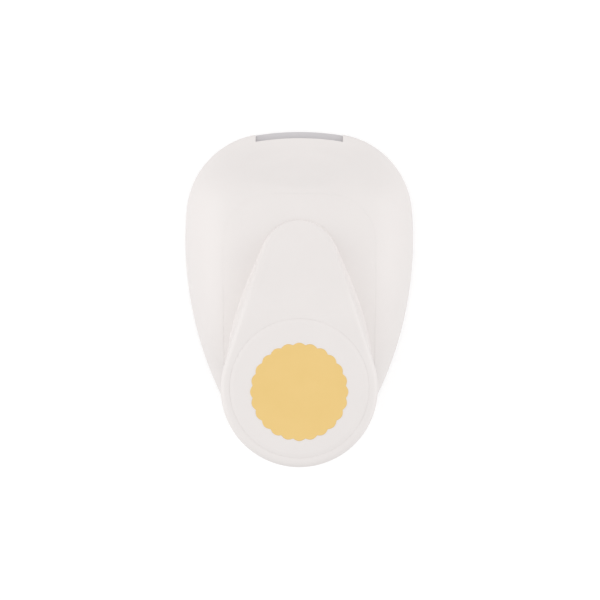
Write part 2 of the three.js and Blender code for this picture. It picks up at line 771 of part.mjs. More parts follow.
// One ring of the spring's wire, at a turn round the coil
function springRing(x, turn, z) {
  return Array.from({ length: springWireSides }, (_, j) => {
    const round = (-j / springWireSides) * 2 * Math.PI;
    const r = springR + springWireR * Math.cos(round);
    return [x + r * Math.cos(turn), dieY + r * Math.sin(turn), z + springWireR * Math.sin(round)];
  });
}

// Return springs: an open coil between the guide plate and the yoke
function addSprings() {
  const bottom = guideTopZ + springWireR + springSeatGap;
  const top = cutterTopZ - springWireR - springSeatGap;
  const steps = springTurns * springTurnSteps;
  for (const [side, word] of eachSide) {
    const rings = Array.from({ length: steps + 1 }, (_, i) =>
      springRing(side * springX, (i / springTurnSteps) * 2 * Math.PI, mix(bottom, top, i / steps)));
    place(punch, "return_spring_" + word, skinned(rings), steel);
  }
}

// Height of the lever's flanks, flush with the dome at the front and a little lower at the rear
const flankTop = (x, y) => domeTop(x, y) - leverDrop * eased(leverDropFrontY, leverDropRearY, y);

function flankBottom(y) {
  const front = mix(flankBottomFrontZ, flankBottomZ, eased(flankFrontY, dieY, y));
  return mix(front, flankBottomRearZ, eased(flankFallFrontY, flankFallRearY, y));
}

function flankBlock(inset, sink, floor) {
  const y0 = flankFrontY + inset;
  const y1 = flankRearY - inset;
  const rings = [];
  for (let i = 0; i <= flankSteps; i++) {
    const y = mix(y0, y1, (i / flankSteps) ** flankStepPower);
    const half = openingHalfAt(Math.max(y, y0 + touchGap), leverSideGap + inset);
    const ring = [[-half, y, floor(y)]];
    for (let j = -flankColumns; j <= flankColumns; j++) {
      const x = half * Math.sin((j / flankColumns) * (Math.PI / 2));
      ring.push([x, y, flankTop(x, y) - sink]);
    }
    ring.push([half, y, floor(y)]);
    rings.push(ring);
  }
  return skinned(rings);
}

// Tongue: two circles and their common tangents, seen from above
function tongueStations(inset) {
  const tipEnd = Math.PI / 2 - tongueTaper;
  const tipR = tongueTipR - inset;
  const stations = [];
  for (let i = 0; i <= tongueSteps; i++) {
    const turn = Math.max(tipEnd * (i / tongueSteps), Math.PI * tipAngleShare);
    stations.push([tipR * Math.sin(turn), tongueTipMidY - tipR * Math.cos(turn)]);
  }
  const start = stations[stations.length - 1];
  const end = [(padR - inset) * Math.sin(tipEnd), padY - (padR - inset) * Math.cos(tipEnd)];
  const shares = Array.from({ length: tongueSteps }, (_, i) => (i + 1) / tongueSteps);
  for (const y of [flankRearY, neckRearY]) {
    const share = (y - start[1]) / (end[1] - start[1]);
    if (share < 1) shares.push(share);
  }
  for (const share of shares.sort((a, b) => a - b)) {
    stations.push([mix(start[0], end[0], share), mix(start[1], end[1], share)]);
  }
  stations.push([padR - inset, padY]);
  return stations;
}

// Where the tongue's sloping side ends: near its edge at the tip, and close to the opening further back
function tongueFoot(half, y, inset) {
  const ledge = openingHalfAt(y, leverSideGap + inset) - tongueLedge;
  const nearTip = Math.min(half + tongueTipSpread, ledge);
  const spread = eased(tongueTipY, tongueTipY + tongueSpreadLength, y);
  return Math.max(half, mix(nearTip, ledge, spread));
}

// A level top that rounds over its edge at x and runs on towards a point below
function roundedEdge(x, top, edge, [lowX, lowZ]) {
  const run = Math.hypot(lowX - x, lowZ - top);
  const end = [x + (edge * (lowX - x)) / run, top + (edge * (lowZ - top)) / run];
  return Array.from({ length: tongueEdgeSteps + 1 }, (_, step) => {
    const u = step / tongueEdgeSteps;
    const [a, b, c] = [(1 - u) ** 2, 2 * u * (1 - u), u ** 2];
    return [a * (x - edge) + b * x + c * end[0], (a + b) * top + c * end[1]];
  });
}

// Height of the tongue along the lever: from a low step at its tip up to the level pad
function tongueTop(y) {
  const start = domeTop(0, tongueTipY) + tongueStep;
  return mix(start, rimTopZ, through(tongueShares, (y - tongueTipY) / (tongueLevelY - tongueTipY)));
}

function tongueBottom(y) {
  const low = Math.max(flankTop(0, y) - tongueSkirt, flankBottom(y));
  return mix(low, padBottomZ, eased(flankRearY, neckRearY, y));
}

function tongueBlock(inset, sink, drop) {
  return skinned(tongueStations(inset).map(([half, y]) => {
    const top = tongueTop(y) - sink;
    const bottom = tongueBottom(y) - drop;
    const foot = tongueFoot(half, y, inset);
    const seatZ = flankTop(foot, y) - tongueFootSink - inset;
    const footZ = Math.min(Math.max(seatZ, bottom + touchGap), top - touchGap);
    const edge = Math.min(tongueEdgeR, half, top - footZ);
    const side = [...roundedEdge(half, top, edge, [foot, footZ]), [foot, footZ], [foot, bottom]];
    return [...side.map(([x, z]) => [-x, y, z]).reverse(), ...side.map(([x, z]) => [x, y, z])];
  }));
}

// Rear wall of the lever, from the flanks up the neck to just under the steel frame
function neckWall() {
  const rise = Array.from({ length: tongueSteps + 1 }, (_, i) => {
    const y = mix(flankRearY, neckRearY, i / tongueSteps);
    return [y, tongueBottom(y)];
  });
  const back = rise.map(([y, z]) => [y - leverWall, z]).reverse();
  const clearZ = frameTop(flankRearY) - frameDepth - frameRoofGap;
  return sideSlab([...rise, ...back], -padR, padR).intersect(box(-padR, padR, 0, padY, 0, clearZ));
}

// The round end of the lever, with its upper edge rounded like the tongue's
function padPuck() {
  const edge = roundedEdge(padR, rimTopZ, tongueEdgeR, [padR, padBottomZ]).reverse();
  const foot = [[0, padBottomZ], [padR - discEdge, padBottomZ], [padR, padBottomZ + discEdge]];
  return turned(0, padY, [...foot, ...edge, [0, rimTopZ]], padSides);
}

function addLeverShell() {
  const outer = joined(flankBlock(0, 0, flankBottom), tongueBlock(0, 0, 0), padPuck());
  const hollow = joined(
    flankBlock(leverWall, leverWall, (y) => flankBottom(y) - overrun),
    tongueBlock(leverWall, rimTopZ - padRoofZ, padThick),
    rodZ(0, padY, padBottomZ - overrun, padRoofZ, padR - leverWall, padSides),
  );
  const bossR = shellScrewR + bossWall;
  const bosses = shellScrews.map(({ y }) =>
    rodZ(0, y, frameTop(y + bossR) + touchGap, padTopZ, bossR, smallSides));
  const screwHoles = shellScrews.map(({ y }) =>
    rodZ(0, y, 0, frameTop(y) + shellScrewBite + screwHoleGap, shellScrewR + screwHoleGap, smallSides));
  const discSeat = rodZ(0, discY, discFloorZ, padTopZ + overrun, discR + discGap, padSides);
  const pegHoles = pegPlaces.map(([x, y]) => rodZ(x, y, 0, padTopZ, discPegR + pegGap, smallSides));
  const kept = cut(hollow, neckWall(), ...bosses);
  place(leverGroup, "lever_shell", cut(outer, kept, ...screwHoles, discSeat, ...pegHoles), white);
}

// Two pegs under the disc snap through the roof of the pad
const pegPlaces = eachSide.map(([side]) => [side * badgePeakR, discY]);

function addPad() {
  const bevel = [[discR, padTopZ - discEdge], [discR - discEdge, padTopZ]];
  const disc = turned(0, discY, [[0, discFloorZ], [discR, discFloorZ], ...bevel, [0, padTopZ]], padSides);
  const pegs = pegPlaces.map(([x, y]) =>
    rodZ(x, y, padRoofZ - discPegDrop, discFloorZ + touchGap, discPegR, smallSides));
  const seatLoop = scallopLoop(badgeY, badgePeakR + badgeGap, badgeValleyR + badgeGap);
  const seat = slab(seatLoop, padTopZ - badgeThick, padTopZ + overrun);
  place(leverGroup, "pad_disc", cut(joined(disc, ...pegs), seat), white);
  const badgeLoop = scallopLoop(badgeY, badgePeakR, badgeValleyR);
  const badge = slab(badgeLoop, padTopZ - badgeThick, padTopZ + badgeProud);
  place(leverGroup, "shape_badge", badge, gold);
}

const shellScrews = [
  { name: "shell_screw_front", y: shellScrewFrontY },
  { name: "shell_screw_rear", y: shellScrewRearY },
];

// Upper edge of the lever's steel frame, which follows the roof of the shell
const frameTop = (y) => tongueTop(y) - padRoof - frameRoofGap;

function frameTopLine() {
  const line = [[frameWebFrontY, flankBottomFrontZ - frameRoofGap]];
  for (let i = 0; i <= frameSteps; i++) {
    const y = mix(tongueTipY, tongueLevelY, i / frameSteps);
    line.push([y, frameTop(y)]);
  }
  line.push([frameEndY, frameTop(frameEndY)]);
  return line;
}

// Side view of a flange: from the pivot's eye along the roof, shallow under the pad, back over the roller
function flangeOutline(top) {
  const low = [
    [frameEndY, frameTop(frameEndY) - frameTailDepth],
    [neckRearY, frameTop(neckRearY) - frameTailDepth],
    [flankRearY, frameTop(flankRearY) - frameDepth],
    ...top.slice(0, -1).reverse().map(([y, z]) => [y, z - frameDepth]),
  ];
  const noseZ = rollerZ - rollerR * frameNoseShare;
  return [
    [pivotY - earR, pivotZ], [pivotY - earR * frameHeelShare, pivotZ + earR * frameNeckShare], ...top,
    ...low.filter(([y]) => y > dieY + frameBellyReach),
    [dieY + frameNoseReach, noseZ], [dieY - frameNoseReach, noseZ],
    [bracketRearY, pivotZ + earR * frameThroatShare], [pivotY + earR, pivotZ],
  ];
}

function addLeverFrame() {
  const top = frameTopLine();
  const outline = flangeOutline(top).reverse();
  const flange = (x0) => sideSlab(outline, x0, x0 + frameSheet).add(pivotRod(x0, x0 + frameSheet, earR));
  const webLow = [...top].reverse().map(([y, z]) => [y, z - frameSheet]);
  const web = sideSlab([...top, ...webLow].reverse(), -frameInnerX - touchGap, frameInnerX + touchGap);
  const holes = [
    rodX(-pinReach, pinReach, pivotY, pivotZ, pivotPinR + pivotGap),
    rodX(-pinReach, pinReach, dieY, rollerZ, rollerR + rollerHoleGap),
    ...shellScrews.map(({ y }) => rodZ(0, y, 0, padTopZ, shellScrewR + screwHoleGap, smallSides)),
  ];
  const frame = cut(joined(web, flange(frameInnerX), flange(-frameOuterX)), ...holes);
  place(leverGroup, "lever_frame", frame, darkSteel);
  place(leverGroup, "push_roller", rodX(-frameOuterX, frameOuterX, dieY, rollerZ, rollerR), steel);
  for (const { name, y } of shellScrews) {
    const headZ = frameTop(y) - frameSheet - shellScrewHeadThick - frameRoofGap;
    const tip = frameTop(y) + shellScrewBite;
    const solid = screw(0, y, headZ, tip, shellScrewR, shellScrewHeadR, shellScrewHeadThick);
    place(leverGroup, name, solid, darkSteel);
  }
}

addBaseTray();
addFeet();
addDieSet();
addFasteners();
addPivotBracket();
addPivotPin();
addHousing();
addCutter();
addSprings();
addLeverFrame();
addLeverShell();
addPad();

export default punch;
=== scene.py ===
import functools
import json
import math

import bmesh
import bpy
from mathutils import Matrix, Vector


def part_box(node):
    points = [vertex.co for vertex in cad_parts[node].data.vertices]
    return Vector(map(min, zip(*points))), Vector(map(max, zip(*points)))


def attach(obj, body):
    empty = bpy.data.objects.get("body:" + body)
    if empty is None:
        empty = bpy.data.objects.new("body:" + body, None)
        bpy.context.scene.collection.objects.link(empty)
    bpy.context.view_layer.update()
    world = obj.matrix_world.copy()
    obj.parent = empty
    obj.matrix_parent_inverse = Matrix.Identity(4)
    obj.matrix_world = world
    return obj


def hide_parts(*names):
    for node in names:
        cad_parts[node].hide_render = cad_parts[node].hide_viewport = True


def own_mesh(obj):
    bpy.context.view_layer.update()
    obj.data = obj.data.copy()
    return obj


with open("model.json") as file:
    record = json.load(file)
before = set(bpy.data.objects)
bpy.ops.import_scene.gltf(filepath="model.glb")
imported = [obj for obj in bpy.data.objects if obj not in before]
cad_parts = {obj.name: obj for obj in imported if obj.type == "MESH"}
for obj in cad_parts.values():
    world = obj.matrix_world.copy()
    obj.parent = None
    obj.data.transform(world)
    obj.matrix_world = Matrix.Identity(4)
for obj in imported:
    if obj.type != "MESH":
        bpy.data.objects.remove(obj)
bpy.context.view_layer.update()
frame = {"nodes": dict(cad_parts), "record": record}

# Sizes are in metres. The frame gives the levels and the boxes of the pieces. The rest is the
# outlines, walls and small roundings that a moulded or pressed piece has.
tray_low, tray_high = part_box("base_tray")
skirt_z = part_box("housing")[0].z
lever_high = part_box("lever_shell")[1]
disc_low, disc_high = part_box("pad_disc")
badge_low, badge_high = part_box("shape_badge")
die_low, die_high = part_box("die_plate")
guide_low, guide_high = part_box("guide_plate")
stop_low, stop_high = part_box("paper_stop")
cutter_low, cutter_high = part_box("cutter")
foot_low, foot_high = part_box("foot_front_right")

touch_gap = 0.00002

# Egg outline of the housing and the base, as a chain of tangent arcs
mouth_y = tray_low.y
rear_y = 0.041
front_arc_r = 0.072
corner_arc_r = 0.0224
corner_reach_x = 0.03045
side_arc_r = 0.0965
rear_arc_r = 0.0226
arc_steps = (14, 26, 30, 30)
tip_angle_share = 0.0015

# Levels of the stack
tray_floor = 0.002
skirt_rise = 0.0011
foot_stand = tray_low.z
tray_top_z = tray_high.z
tray_floor_z = foot_stand + tray_floor
die_bottom_z = die_low.z
die_top_z = die_high.z
guide_bottom_z = guide_low.z
guide_top_z = guide_high.z
edge_z = skirt_z + skirt_rise
dome_rise = 0.0202
pad_top_z = disc_high.z
pad_thick = 0.0085
pad_bottom_z = pad_top_z - pad_thick

# Dome of the housing
housing_wall = 0.0018
shoulder_power = 3.4
edge_power = 2
crown_shares = (
    (0, 0), (0.01, 0.066), (0.035, 0.12), (0.064, 0.21), (0.117, 0.485), (0.17, 0.745), (0.228, 0.905),
    (0.31, 0.985), (0.392, 1), (0.497, 0.96), (0.614, 0.812), (0.731, 0.564), (0.848, 0.292),
    (0.942, 0.109), (1, 0),
)
notch_width = 0.0235
notch_depth = 0.002
dome_columns = 26
inner_columns = dome_columns // 2
skirt_edge_r = 0.0003
reach_steps = 40

# Where the housing is narrow, a wall takes at most one of this many parts of its width
narrow_parts = 3

# Shallow oval recess in the front slope, left bare
recess_y = -0.0338
recess_half_x = 0.0132
recess_half_y = 0.0052
recess_depth = 0.0009
recess_blend_share = 0.4

# Thumb pad's place and the opening that the lever sinks into
throat_depth = 0.0425
flank_reach = 0.0204
pad_setback = 0.01695
pad_overhang = 0.0003
opening_setback = 0.0175
opening_swing_room = 0.0044
throat_y = mouth_y + throat_depth
plate_rear_y = stop_high.y
flank_rear_y = throat_y + flank_reach
pad_y = rear_y - pad_setback
pad_r = lever_high.y - pad_y
opening_half = pad_r - pad_overhang
opening_front_y = mouth_y + opening_setback
opening_rear_y = flank_rear_y + opening_swing_room
opening_corner_r = 0.013
opening_corner_x = opening_half - opening_corner_r
opening_corner_y = opening_front_y + opening_corner_r
opening_rear_r = 0.0012
opening_rim_r = 0.00002
opening_wall = 0.0014
opening_wall_bottom_z = 0.0163
opening_blend = 0.002
corner_steps = 26
front_steps = 12
arm_steps = 48
rear_corner_steps = 16
rear_steps = 24

# Base tray
tray_wall = 0.0022
tray_foot_r = 0.0012
tray_edge_r = 0.0003
bulkhead_gap = 0.0003
bulkhead_thick = 0.0012
bulkhead_drop = 0.0005
bulkhead_top_z = tray_top_z - bulkhead_drop
chute_r = 0.0146
chute_wall = 0.0014
plate_inset = 0.0024
skirt_wall = plate_inset - touch_gap
plate_edge_r = 0.00015
tab_side_gap = 0.0001

# Die set
die_y = (cutter_low.y + cutter_high.y) / 2
cut_peak_r = 0.0127
cut_valley_r = 0.01215
cut_clearance = 0.00008
scallops = 24
scallop_steps = 12

# Lever shell
lever_side_gap = 0.000005
lever_wall = 0.0018
lever_drop = 0.00005
lever_drop_setback = 0.015
lever_drop_front_y = opening_front_y + lever_drop_setback
flank_front_y = opening_front_y + lever_side_gap
flank_bottom_front_z = 0.0282
flank_bottom_z = 0.0244
flank_bottom_rear_z = 0.0174
flank_fall_gap = 0.0012
flank_fall_run = 0.005
flank_fall_front_y = plate_rear_y + flank_fall_gap
flank_fall_rear_y = flank_fall_front_y + flank_fall_run
flank_rim_r = 0.00002
flank_rows = 70
flank_columns = 30
tongue_setback = 0.007
tongue_tip_y = opening_front_y + tongue_setback
tongue_tip_r = 0.0096
tongue_step = 0.0006
tongue_skirt = 0.0045
tongue_ledge = 0.0006
tongue_foot_sink = 0.0003
tongue_tip_spread = 0.0005
tongue_spread_length = 0.056
tongue_edge_r = 0.0012
tongue_edge_steps = 10
tongue_sweep_share = 0.7
tongue_sweep_steps = 8
slope_probe = 0.0005
tongue_steps = 40
tongue_shares = (
    (0, 0), (0.1, 0.07), (0.3, 0.3), (0.5, 0.565), (0.68, 0.8), (0.8, 0.915), (0.9, 0.975), (1, 1),
)
neck_run = 0.0008
neck_rear_y = flank_rear_y + neck_run

# Thumb pad
pad_roof = 0.0038
rim_drop = 0.0003
rim_top_z = pad_top_z - rim_drop
pad_foot_r = 0.0006
pad_edge_r = 0.002
# Disc and badge lie a little further back than their solids, and the disc is a little larger
disc_shift = 0.0002
disc_growth = 0.00015
disc_y = (disc_low.y + disc_high.y) / 2 + disc_shift
disc_r = disc_high.x + disc_growth
disc_gap = 0.000005
disc_thick = 0.0017
disc_edge_run = 0.0012
disc_edge_fall = 0.00034
disc_edge_share = 0.8
badge_gap = 0.00001
badge_shift = 0.00025
badge_y = (badge_low.y + badge_high.y) / 2 + badge_shift
badge_peak_r = badge_high.x
badge_valley_r = badge_peak_r - cut_peak_r + cut_valley_r
badge_thick = badge_high.z - badge_low.z
badge_edge_r = 0.0001

# Cuts and curves
overrun = 0.001
round_sides = 96
fillet_steps = 6
sharp_angle = math.radians(32)
small_sides = round_sides // 2

# Screws, feet and springs
base_screws = [kind + side for kind in ("side_screw_", "rear_screw_") for side in ("left", "right")]
die_screws = ["die_screw_left", "die_screw_right"]
feet = [f"foot_{end}_{side}" for end in ("front", "rear") for side in ("left", "right")]
screw_recess_gap = 0.0001
boss_wall = 0.0008
foot_recess_gap = 0.0001
foot_edge_r = 0.0004
screw_edge_r = 0.0003
screw_head_thick = 0.0015
screw_shank_r = 0.0014
screw_slot_width = 0.0006
screw_slot_depth = 0.0006
spring_wire_r = 0.00035
spring_turns = 5
spring_turn_steps = 28
spring_wire_sides = 10

# Noise of each look, as its scale, its detail and its stretch
even = (1, 1, 1)
white_cloud = (90, 3, even)
white_grain = (5200, 2, even)
foil_cloud = (140, 4, even)
foil_grain = (7000, 3, even)
rubber_grain = (2400, 4, even)
steel_line_scale = 900
steel_line_detail = 4
line_stretch = 0.05

# Darker and lighter shade of each look, in sRGB
white_shades = ((232, 227, 225), (236, 231, 229))
foil_shades = ((234, 199, 124), (239, 205, 134))
rubber_shades = ((176, 176, 174), (196, 196, 193))

# Each steel's name, its darker and lighter shade, how rough it is and the way its lines run
steel_looks = (
    ("screw_steel", (165, 165, 168), (186, 186, 190), 0.35, even),
    ("plate_steel", (207, 204, 206), (221, 218, 220), 0.45, (line_stretch, 1, 1)),
    ("cutter_steel", (176, 176, 178), (196, 196, 199), 0.3, (1, 1, line_stretch)),
    ("frame_steel", (150, 150, 153), (170, 170, 174), 0.45, (1, line_stretch, 1)),
)

# Depth and strength of each look's bump, and how rough the look is
white_bump = (0.00002, 0.25)
foil_bump = (0.00001, 0.2)
steel_bump = (0.00001, 0.3)
rubber_bump = (0.00004, 0.5)
white_rough = (0.42, 0.54)
foil_rough = (0.42, 0.6)
rubber_rough = (0.75, 0.95)
steel_rough_spread = 0.08
foil_metallic = 0.15

# Stage
camera_place = (-0.0002, 0.0011, 0.8)
camera_lens = 174.8
camera_sensor = 36
world_glow = 0.87
floor_reach = 3
floor_glow = 0.45
floor_grey = (0.65, 0.65, 0.65, 1)
floor_rough = 0.9
pure_white = (1, 1, 1, 1)
softbox_length = 1.4
softbox_height = 0.5
softboxes = (
    ("softbox_left", (0.89, -0.14, 0.33), 2.9),
    ("softbox_right", (-0.89, -0.14, 0.33), 2.5),
)


def mix(a, b, share):
    return a + (b - a) * share


def eased(start, end, value):
    share = min(max((value - start) / (end - start), 0), 1)
    return share * share * (3 - 2 * share)


def through(table, place):
    """A smooth curve through a table of (place, height) pairs."""
    last = len(table) - 1

    def slope(i):
        p0, h0 = table[max(i - 1, 0)]
        p1, h1 = table[min(i + 1, last)]
        return (h1 - h0) / (p1 - p0)

    at = min(max(place, 0), 1)
    i = 0
    while i < last - 1 and at > table[i + 1][0]:
        i += 1
    p0, h0 = table[i]
    p1, h1 = table[i + 1]
    run = p1 - p0
    u = (at - p0) / run
    return (
        h0 * (1 + 2 * u) * (1 - u) ** 2 + slope(i) * run * u * (1 - u) ** 2
        + h1 * u * u * (3 - 2 * u) + slope(i + 1) * run * u * u * (u - 1)
    )


def fillet_fall(distance, radius):
    """How far a rounded edge lies under its face, at a distance in from the edge."""
    if distance >= radius:
        return 0
    return radius - math.sqrt(radius ** 2 - (radius - max(distance, 0)) ** 2)


@functools.lru_cache(maxsize=None)
def egg_arcs(inset):
    """The egg's arcs on its right side, front to rear. Angles turn from -Y towards +X."""
    front = (0, mouth_y + front_arc_r, front_arc_r)
    corner_x = corner_reach_x - corner_arc_r
    corner_y = front[1] - math.sqrt((front_arc_r - corner_arc_r) ** 2 - corner_x ** 2)
    corner = (corner_x, corner_y, corner_arc_r)
    rear = (0, rear_y - rear_arc_r, rear_arc_r)
    span_x, span_y = rear[0] - corner_x, rear[1] - corner_y
    span = math.hypot(span_x, span_y)
    to_corner, to_rear = side_arc_r - corner_arc_r, side_arc_r - rear_arc_r
    along = (to_corner ** 2 - to_rear ** 2 + span ** 2) / (2 * span)
    across = math.sqrt(to_corner ** 2 - along ** 2)
    side = (
        corner_x + (span_x * along - span_y * across) / span,
        corner_y + (span_y * along + span_x * across) / span,
        side_arc_r,
    )

    def angle(start, end):
        return math.atan2(end[0] - start[0], start[1] - end[1])

    turns = (0, angle(front, corner), angle(side, corner), angle(side, rear), math.pi)
    arcs = (front, corner, side, rear)
    return tuple((x, y, r - inset, turns[i], turns[i + 1]) for i, (x, y, r) in enumerate(arcs))


def egg_half(y, inset=0.0):
    arcs = egg_arcs(inset)
    for x, arc_y, r, _, end in arcs:
        if y <= arc_y - r * math.cos(end):
            break
    return x + math.sqrt(max(r ** 2 - (y - arc_y) ** 2, 0))


def egg_turns():
    """(arc, turn) of each point on the egg's right side, with a pair where the paper slot ends."""
    places = []
    for i, (_, y, r, start, end) in enumerate(egg_arcs(0.0)):
        for step in range(1 if i else 0, arc_steps[i] + 1):
            turn = mix(start, end, step / arc_steps[i])
            kept = min(max(turn, math.pi * tip_angle_share), math.pi * (1 - tip_angle_share))
            places.append((i, kept))
        end_turn = math.acos(min(max((y - throat_y) / r, -1), 1))
        if start < end_turn < end:
            places += [(i, end_turn - tip_angle_share), (i, end_turn + tip_angle_share)]
    return sorted(places)


def egg_side(inset=0.0):
    points = []
    for i, turn in egg_turns():
        x, y, r = egg_arcs(inset)[i][:3]
        points.append((x + r * math.sin(turn), y - r * math.cos(turn)))
    return points


def mirrored(side):
    return list(side) + [(-x, y) for x, y in reversed(side)]


def egg_part(inset, y0, y1):
    """The egg outline between two places along Y."""
    side = [(x, y) for x, y in egg_side(inset) if y0 < y < y1]
    if egg_half(y0, inset) > 0:
        side.insert(0, (egg_half(y0, inset), y0))
    if egg_half(y1, inset) > 0:
        side.append((egg_half(y1, inset), y1))
    return mirrored(side)


def crown(y):
    return dome_rise * through(crown_shares, (y - mouth_y) / (rear_y - mouth_y))


def dome_fall(share):
    return (1 - min(abs(share), 1) ** shoulder_power) ** (1 / edge_power)


def recess(x, y):
    """Depth of the bare oval recess in the front slope."""
    reach = math.hypot(x / recess_half_x, (y - recess_y) / recess_half_y)
    return recess_depth * (1 - eased(1 - recess_blend_share, 1, reach))


def dome_top(x, y):
    half = egg_half(y)
    return edge_z + crown(y) * dome_fall(x / half if half > 0 else 1) - recess(x, y)


# Mesh helpers

def new_object(name, points, faces):
    mesh = bpy.data.meshes.new(name)
    mesh.from_pydata([tuple(p) for p in points], [], faces)
    shape = bmesh.new()
    shape.from_mesh(mesh)
    bmesh.ops.recalc_face_normals(shape, faces=shape.faces)
    shape.to_mesh(mesh)
    shape.free()
    obj = bpy.data.objects.new(name, mesh)
    bpy.context.scene.collection.objects.link(obj)
    return obj


def skinned(name, rings, closed=False):
    """Skins a row of rings of points. It closes on itself, or has flat ends."""
    count = len(rings[0])
    points = [p for ring in rings for p in ring]
    faces = []
    for i in range(len(rings) - (0 if closed else 1)):
        k = (i + 1) % len(rings)
        for j in range(count):
            n = (j + 1) % count
            faces.append((i * count + j, i * count + n, k * count + n, k * count + j))
    if not closed:
        faces.append(tuple(range(count)))
        faces.append(tuple(range((len(rings) - 1) * count, len(rings) * count)))
    return new_object(name, points, faces)


def prism(name, outline, z0, z1):
    return skinned(name, [[(x, y, z) for x, y in outline] for z in (z0, z1)])


def side_prism(name, outline, x0, x1):
    return skinned(name, [[(x, y, z) for y, z in outline] for x in (x0, x1)])


def block(name, x0, x1, y0, y1, z0, z1):
    return prism(name, ((x0, y0), (x1, y0), (x1, y1), (x0, y1)), z0, z1)


def circle(x, y, radius, sides=round_sides):
    turns = [2 * math.pi * i / sides for i in range(sides)]
    return [(x + radius * math.cos(t), y + radius * math.sin(t)) for t in turns]


def rod(name, x, y, z0, z1, radius, sides=round_sides):
    return prism(name, circle(x, y, radius, sides), z0, z1)


def turned(name, x, y, profile, sides=round_sides):
    """A profile of (radius, height) turned about an upright axis. Its ends are capped."""
    return skinned(name, [[(px, py, z) for px, py in circle(x, y, r, sides)] for r, z in profile])


def scallop_loop(y, peak, valley, steps=scallop_steps):
    loop = []
    for i in range(scallops * steps):
        turn = 2 * math.pi * i / (scallops * steps)
        r = valley + (peak - valley) * abs(math.cos(turn * scallops / 2))
        loop.append((r * math.sin(turn), y - r * math.cos(turn)))
    return loop


def combine(first, others, operation):
    """Joins the others to the first, or cuts them out of it."""
    for other in others:
        change = first.modifiers.new("change", "BOOLEAN")
        change.operation = operation
        change.solver = "EXACT"
        change.object = other
        bpy.context.view_layer.update()
        shaped = first.evaluated_get(bpy.context.evaluated_depsgraph_get())
        made = bpy.data.meshes.new_from_object(shaped)
        first.modifiers.clear()
        old = first.data
        first.data = made
        bpy.data.meshes.remove(old)
        bpy.data.objects.remove(other)
    return first


def joined(first, *others):
    return combine(first, others, "UNION")


def cut(first, *others):
    return combine(first, others, "DIFFERENCE")


def common(first, *others):
    return combine(first, others, "INTERSECT")


def finished(obj, material, slot, body, *nodes):
    """Smooth shading, a material, a body to ride on and the CAD nodes that the piece stands for."""
    obj.data.materials.clear()
    obj.data.materials.append(material)
    obj.data.shade_smooth()
    obj.data.set_sharp_from_angle(angle=sharp_angle)
    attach(obj, body)
    if nodes:
        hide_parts(*nodes)
    return obj


# Housing

def egg_reach(x, y, dx, dy):
    """How far it is from a point inside the egg to its outline, along a direction."""
    near, far = 0, 2 * corner_reach_x
    for _ in range(reach_steps):
        middle = (near + far) / 2
        px, py = x + dx * middle, y + dy * middle
        inside = mouth_y < py < rear_y and abs(px) < egg_half(py)
        near, far = (middle, far) if inside else (near, middle)
    return near


def arc_stations(x, y, radius, start, end, steps):
    """Points along an arc, each with its way out. Turns run from -Y towards +X."""
    stations = []
    for i in range(steps):
        turn = mix(start, end, i / steps)
        dx, dy = math.sin(turn), -math.cos(turn)
        stations.append((x + radius * dx, y + radius * dy, dx, dy))
    return stations


def opening_stations():
    """Points round the opening, from the middle of its rear edge by the right side, with their ways out."""
    front_x, front_y = opening_corner_x, opening_corner_y
    rear_x, side_y = opening_half - opening_rear_r, opening_rear_y - opening_rear_r
    right = [(mix(0, rear_x, i / rear_steps), opening_rear_y, 0, 1) for i in range(rear_steps)]
    right += arc_stations(rear_x, side_y, opening_rear_r, math.pi, math.pi / 2, rear_corner_steps)
    right += [(opening_half, mix(side_y, front_y, i / arm_steps), 1, 0) for i in range(arm_steps)]
    right += arc_stations(front_x, front_y, opening_corner_r, math.pi / 2, 0, corner_steps)
    right += [(mix(front_x, 0, i / front_steps), opening_front_y, 0, -1) for i in range(front_steps)]
    front_middle = (0, opening_front_y, 0, -1)
    return right + [front_middle] + [(-x, y, -dx, dy) for x, y, dx, dy in reversed(right[1:])]


def wall_bottom(y, top):
    """Lower end of the wall that lines the opening: deep beside the lever, short at the front."""
    deep = min(opening_wall_bottom_z, top - housing_wall)
    share = eased(opening_corner_y - opening_blend, opening_corner_y + opening_blend, y)
    return mix(top - housing_wall, deep, share)


def housing_ring(x, y, dx, dy):
    """Section of the housing from the opening's rim, over the dome, down the skirt and back inside."""
    width = egg_reach(x, y, dx, dy)

    def at(out, z):
        return (x + dx * out, y + dy * out, z)

    def top(out):
        return dome_top(x + dx * out, y + dy * out)

    rim = min(opening_rim_r, width / narrow_parts)
    ring = [at(0, wall_bottom(y, top(0)))]
    for i in range(fillet_steps + 1):
        out = rim * (1 - math.cos(math.pi / 2 * i / fillet_steps))
        ring.append(at(out, top(out) - fillet_fall(out, rim)))
    for i in range(1, dome_columns + 1):
        out = mix(rim, width, math.sin(math.pi / 2 * i / dome_columns))
        ring.append(at(out, max(top(out), edge_z)))
    ring.append(at(width, skirt_z + skirt_edge_r))
    ring.append(at(width - skirt_edge_r, skirt_z))
    wall = min(skirt_wall, width / narrow_parts)
    lining = min(opening_wall, width / narrow_parts)
    ring.append(at(width - wall, skirt_z))
    for i in range(inner_columns + 1):
        out = mix(width - wall, lining, i / inner_columns)
        ring.append(at(out, max(top(out) - housing_wall, skirt_z + touch_gap)))
    ring.append(at(lining, wall_bottom(y, top(0))))
    return ring


def add_housing(plastic):
    shell = skinned("housing_shell", [housing_ring(*station) for station in opening_stations()], True)
    half = notch_width / 2
    lip = cut(
        block("lip", -half, half, mouth_y - overrun, mouth_y + plate_inset + overrun, 0, pad_top_z),
        prism("lip_line", mirrored(egg_side(notch_depth)), -overrun, pad_top_z + overrun),
    )
    cut(shell, lip)
    finished(shell, plastic, "shell_white", "chassis", "housing")


# Base tray

def tray_rim_z(y):
    return die_top_z if y < throat_y else tray_top_z


